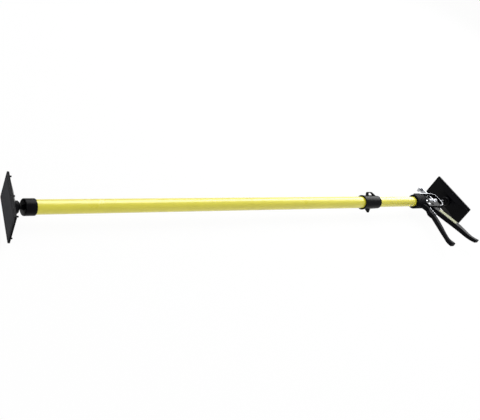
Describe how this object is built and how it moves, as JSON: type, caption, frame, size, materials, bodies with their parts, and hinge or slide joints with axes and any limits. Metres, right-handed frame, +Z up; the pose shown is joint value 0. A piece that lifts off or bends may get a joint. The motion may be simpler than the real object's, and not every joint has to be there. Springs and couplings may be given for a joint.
{
  "type": "drywall support prop",
  "caption": "Telescopic drywall support prop with a twist lock collar, squeeze jack handle and a swivelling pad at each end.",
  "frame": {"origin": "middle of the footprint, on the floor, with the prop lying on the edges of its pads", "axes": "+X along the pole from the head pad to the foot pad, +Y away from the jack handle, +Z up"},
  "size_m": [1.2682, 0.231, 0.0731],
  "materials": {
    "yellow_paint": "gloss",
    "black_plastic": "satin",
    "black_metal": "satin",
    "pad_rubber": "matte",
    "bright_zinc": "satin",
    "label_yellow": "gloss"
  },
  "bodies": {
    "pole": {"outer_tube": "yellow_paint", "head_cap": "black_plastic", "collet_sleeve": "black_plastic", "collar_clip": "bright_zinc"},
    "collar": {"twist_collar": "black_plastic"},
    "head_stud": {"head_ball_stud": "black_metal", "head_stud_nut": "bright_zinc"},
    "head_cup": {"head_socket_liner": "black_plastic"},
    "head_pad": {"head_pad_plate": "black_plastic", "head_pad_face": "pad_rubber", "head_socket_ring": "black_plastic"},
    "inner_pole": {"inner_tube": "yellow_paint", "tail_bush": "black_plastic", "jack_body": "black_metal", "socket_screws": "bright_zinc", "grip_cover": "black_plastic", "guide_yoke": "black_metal", "yoke_rivets": "bright_zinc", "yoke_bolt": "bright_zinc", "rod_bush": "black_plastic", "trigger_pin": "bright_zinc", "pin_clip": "bright_zinc", "release_spring": "bright_zinc"},
    "trigger": {"trigger": "black_metal", "trigger_label": "label_yellow"},
    "drive": {"drive_plate": "black_metal", "drive_spring": "bright_zinc"},
    "release": {"release_plate": "bright_zinc"},
    "rod": {"push_rod": "bright_zinc", "rod_stop": "bright_zinc"},
    "foot_stud": {"foot_ball_stud": "black_metal"},
    "foot_cup": {"foot_socket_liner": "black_plastic"},
    "foot_pad": {"foot_pad_plate": "black_plastic", "foot_pad_face": "pad_rubber", "foot_socket_ring": "black_plastic"}
  },
  "joints": [
    {"name": "collar_twist", "type": "hinge", "parent": "pole", "child": "collar", "pos_m": [0.28127, 0.04784, 0.03635], "axis": [1, 0, 0], "range_deg": [0, 100]},
    {"name": "head_spin", "type": "hinge", "parent": "pole", "child": "head_stud", "pos_m": [-0.60473, 0.04784, 0.03635], "axis": [1, 0, 0], "continuous": true},
    {"name": "head_swing", "type": "hinge", "parent": "head_stud", "child": "head_cup", "pos_m": [-0.60473, 0.04784, 0.03635], "axis": [0, 0, 1], "range_deg": [-4, 28]},
    {"name": "head_tilt", "type": "hinge", "parent": "head_cup", "child": "head_pad", "pos_m": [-0.60473, 0.04784, 0.03635], "axis": [-0.2079, -0.9781, 0], "range_deg": [-19, 13]},
    {"name": "tube_slide", "type": "slide", "parent": "pole", "child": "inner_pole", "axis": [1, 0, 0], "range_m": [-0.13, 0.55]},
    {"name": "trigger_squeeze", "type": "hinge", "parent": "inner_pole", "child": "trigger", "pos_m": [0.52827, 0.02734, 0.03635], "axis": [0, 0, -1], "range_deg": [0, 20], "stiffness_Nm_per_rad": 1, "springref_deg": -20.05},
    {"name": "drive_feed", "type": "slide", "parent": "inner_pole", "child": "drive", "axis": [1, 0, 0], "range_m": [0, 0.00394], "deforming": ["drive_spring"]},
    {"name": "release_press", "type": "hinge", "parent": "inner_pole", "child": "release", "pos_m": [0.55247, 0.06739, 0.03635], "axis": [0, 0, 1], "range_deg": [0, 6], "stiffness_Nm_per_rad": 0.6, "springref_deg": -11.46, "deforming": ["release_spring"]},
    {"name": "rod_slide", "type": "slide", "parent": "inner_pole", "child": "rod", "axis": [1, 0, 0], "range_m": [0, 0.1]},
    {"name": "foot_spin", "type": "hinge", "parent": "rod", "child": "foot_stud", "pos_m": [0.60917, 0.04784, 0.03635], "axis": [1, 0, 0], "continuous": true},
    {"name": "foot_swing", "type": "hinge", "parent": "foot_stud", "child": "foot_cup", "pos_m": [0.60917, 0.04784, 0.03635], "axis": [0, -0.0941, 0.9956], "range_deg": [-25.2, 6.8]},
    {"name": "foot_tilt", "type": "hinge", "parent": "foot_cup", "child": "foot_pad", "pos_m": [0.60917, 0.04784, 0.03635], "axis": [-0.1599, 0.9828, 0.0929], "range_deg": [-16, 16]}
  ],
  "couplings": [
    {"joint": "drive_feed", "follows": "trigger_squeeze", "m_per_rad": 0.011}
  ]
}
